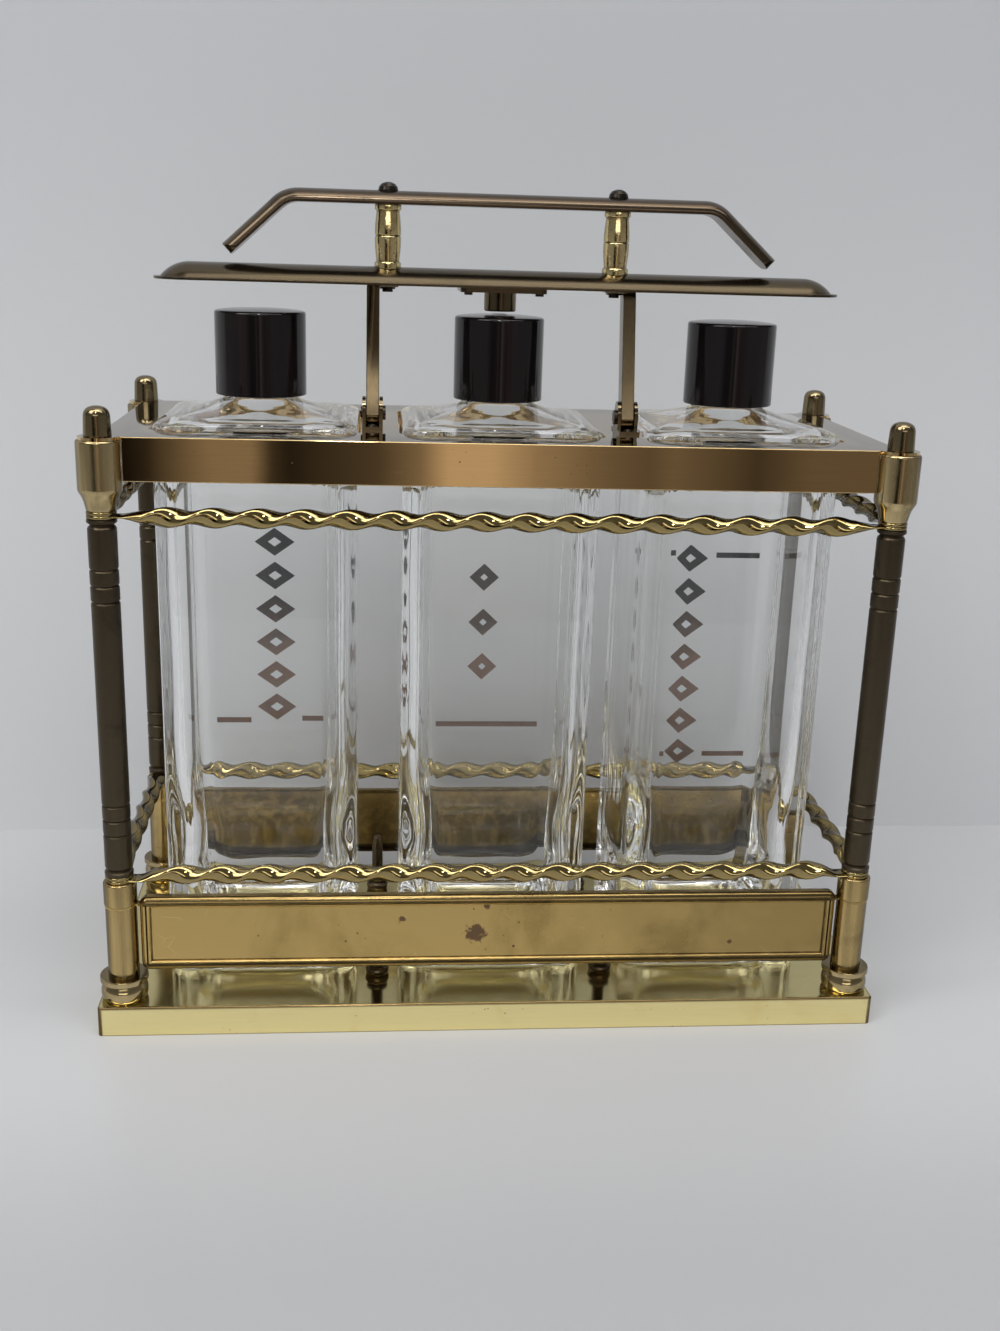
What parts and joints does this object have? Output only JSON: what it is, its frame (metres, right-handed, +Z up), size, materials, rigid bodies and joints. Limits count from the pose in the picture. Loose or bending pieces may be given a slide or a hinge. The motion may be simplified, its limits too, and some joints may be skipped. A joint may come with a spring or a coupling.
{
  "type": "tantalus",
  "caption": "Brass tantalus: a cage of turned columns and twisted rails holding square glass decanters under a hinged lockable bar with a carrying handle.",
  "frame": {"origin": "middle of the base, on the surface that the base stands on", "axes": "+Z up, +X to the right, -Y towards the side that the lid swings down to"},
  "size_m": [0.3086, 0.132, 0.3216],
  "materials": {
    "polished_brass": "bright polished pale gold brass, lightly scratched",
    "rail_brass": "polished brass bar, darker in the twist's hollows",
    "panel_brass": "aged satin brass with dark specks",
    "frame_brass": "brushed bright brass, blotched by age",
    "foot_brass": "turned brass, tarnished olive brown in the grooves",
    "olive_brass": "turned brass with an olive tint",
    "tube_bronze": "darkly toned satin brass tube",
    "lid_bronze": "brown toned brass with bright worn edges",
    "post_brass": "bright turned brass, pitted",
    "dark_fixings": "blackened metal",
    "steel": "plain steel",
    "bottle_glass": "clear thick glass with a faint green edge",
    "black_cap": "glossy black hard plastic",
    "liner_cork": "cork disc"
  },
  "bodies": {
    "cage": {"base_pan": "polished_brass", "lower_near_rail": "rail_brass", "lower_far_rail": "rail_brass", "lower_left_rail": "rail_brass", "lower_right_rail": "rail_brass", "upper_near_rail": "rail_brass", "upper_far_rail": "rail_brass", "upper_left_rail": "rail_brass", "upper_right_rail": "rail_brass", "near_panel": "panel_brass", "far_panel": "panel_brass", "top_frame": "frame_brass", "column_feet": "foot_brass", "column_collars": "olive_brass", "finials": "olive_brass", "near_left_sleeve": "olive_brass", "near_right_sleeve": "olive_brass", "far_left_sleeve": "olive_brass", "far_right_sleeve": "olive_brass", "near_left_cup": "olive_brass", "near_right_cup": "olive_brass", "far_left_cup": "olive_brass", "far_right_cup": "olive_brass", "near_left_tube": "tube_bronze", "near_right_tube": "tube_bronze", "far_left_tube": "tube_bronze", "far_right_tube": "tube_bronze", "left_hinge_bracket": "lid_bronze", "right_hinge_bracket": "lid_bronze", "hinge_pins": "dark_fixings", "hinge_rivets": "dark_fixings", "peg_screws": "dark_fixings", "divider_pegs": "dark_fixings", "tie_rods": "steel", "rod_washers": "steel", "rod_nuts": "steel"},
    "lid": {"lid_plate": "lid_bronze", "left_arm": "lid_bronze", "right_arm": "lid_bronze", "lock_plate": "post_brass", "lock_rivets": "dark_fixings", "lock_barrel": "post_brass", "handle_bar": "lid_bronze", "left_handle_post": "post_brass", "right_handle_post": "post_brass", "handle_screws": "dark_fixings", "handle_nuts": "dark_fixings"},
    "lock_plug_body": {"lock_plug": "post_brass"},
    "lock_bolt_body": {"lock_bolt": "steel"},
    "left_bottle_body": {"left_bottle": "bottle_glass"},
    "left_liner_body": {"left_cap_liner": "liner_cork"},
    "left_cap_body": {"left_cap": "black_cap"},
    "centre_bottle_body": {"centre_bottle": "bottle_glass"},
    "centre_liner_body": {"centre_cap_liner": "liner_cork"},
    "centre_cap_body": {"centre_cap": "black_cap"},
    "right_bottle_body": {"right_bottle": "bottle_glass"},
    "right_liner_body": {"right_cap_liner": "liner_cork"},
    "right_cap_body": {"right_cap": "black_cap"}
  },
  "joints": [
    {"name": "lid_swing", "type": "hinge", "parent": "cage", "child": "lid", "pos_m": [0, -0.016, 0.2375], "axis": [1, 0, 0], "range_deg": [0, 90]},
    {"name": "lock_turn", "type": "hinge", "parent": "lid", "child": "lock_plug_body", "pos_m": [0, 0, 0.286], "axis": [0, 0, 1], "range_deg": [0, 90]},
    {"name": "lock_bolt_slide", "type": "slide", "parent": "lid", "child": "lock_bolt_body", "axis": [0, 0, -1], "range_m": [0, 0.0039]},
    {"name": "left_bottle_lift", "type": "slide", "parent": "cage", "child": "left_bottle_body", "axis": [0, 0, 1], "range_m": [0, 0.009]},
    {"name": "left_liner_rise", "type": "slide", "parent": "left_bottle_body", "child": "left_liner_body", "axis": [0, 0, 1], "range_m": [0, 0.00601]},
    {"name": "left_cap_turn", "type": "hinge", "parent": "left_liner_body", "child": "left_cap_body", "pos_m": [-0.0921, 0, 0.26], "axis": [0, 0, 1], "range_deg": [0, 720]},
    {"name": "centre_bottle_lift", "type": "slide", "parent": "cage", "child": "centre_bottle_body", "axis": [0, 0, 1], "range_m": [0, 0.001]},
    {"name": "centre_liner_rise", "type": "slide", "parent": "centre_bottle_body", "child": "centre_liner_body", "axis": [0, 0, 1], "range_m": [0, 0.00101]},
    {"name": "centre_cap_turn", "type": "hinge", "parent": "centre_liner_body", "child": "centre_cap_body", "pos_m": [0, 0, 0.26], "axis": [0, 0, 1], "range_deg": [0, 120]},
    {"name": "right_bottle_lift", "type": "slide", "parent": "cage", "child": "right_bottle_body", "axis": [0, 0, 1], "range_m": [0, 0.009]},
    {"name": "right_liner_rise", "type": "slide", "parent": "right_bottle_body", "child": "right_liner_body", "axis": [0, 0, 1], "range_m": [0, 0.00601]},
    {"name": "right_cap_turn", "type": "hinge", "parent": "right_liner_body", "child": "right_cap_body", "pos_m": [0.0921, 0, 0.26], "axis": [0, 0, 1], "range_deg": [0, 720]}
  ],
  "couplings": [
    {"joint": "lock_turn", "follows": "lock_bolt_slide", "rad_per_m": 400},
    {"joint": "left_liner_rise", "follows": "left_cap_turn", "m_per_rad": 0.00047746},
    {"joint": "centre_liner_rise", "follows": "centre_cap_turn", "m_per_rad": 0.00047746},
    {"joint": "right_liner_rise", "follows": "right_cap_turn", "m_per_rad": 0.00047746}
  ]
}
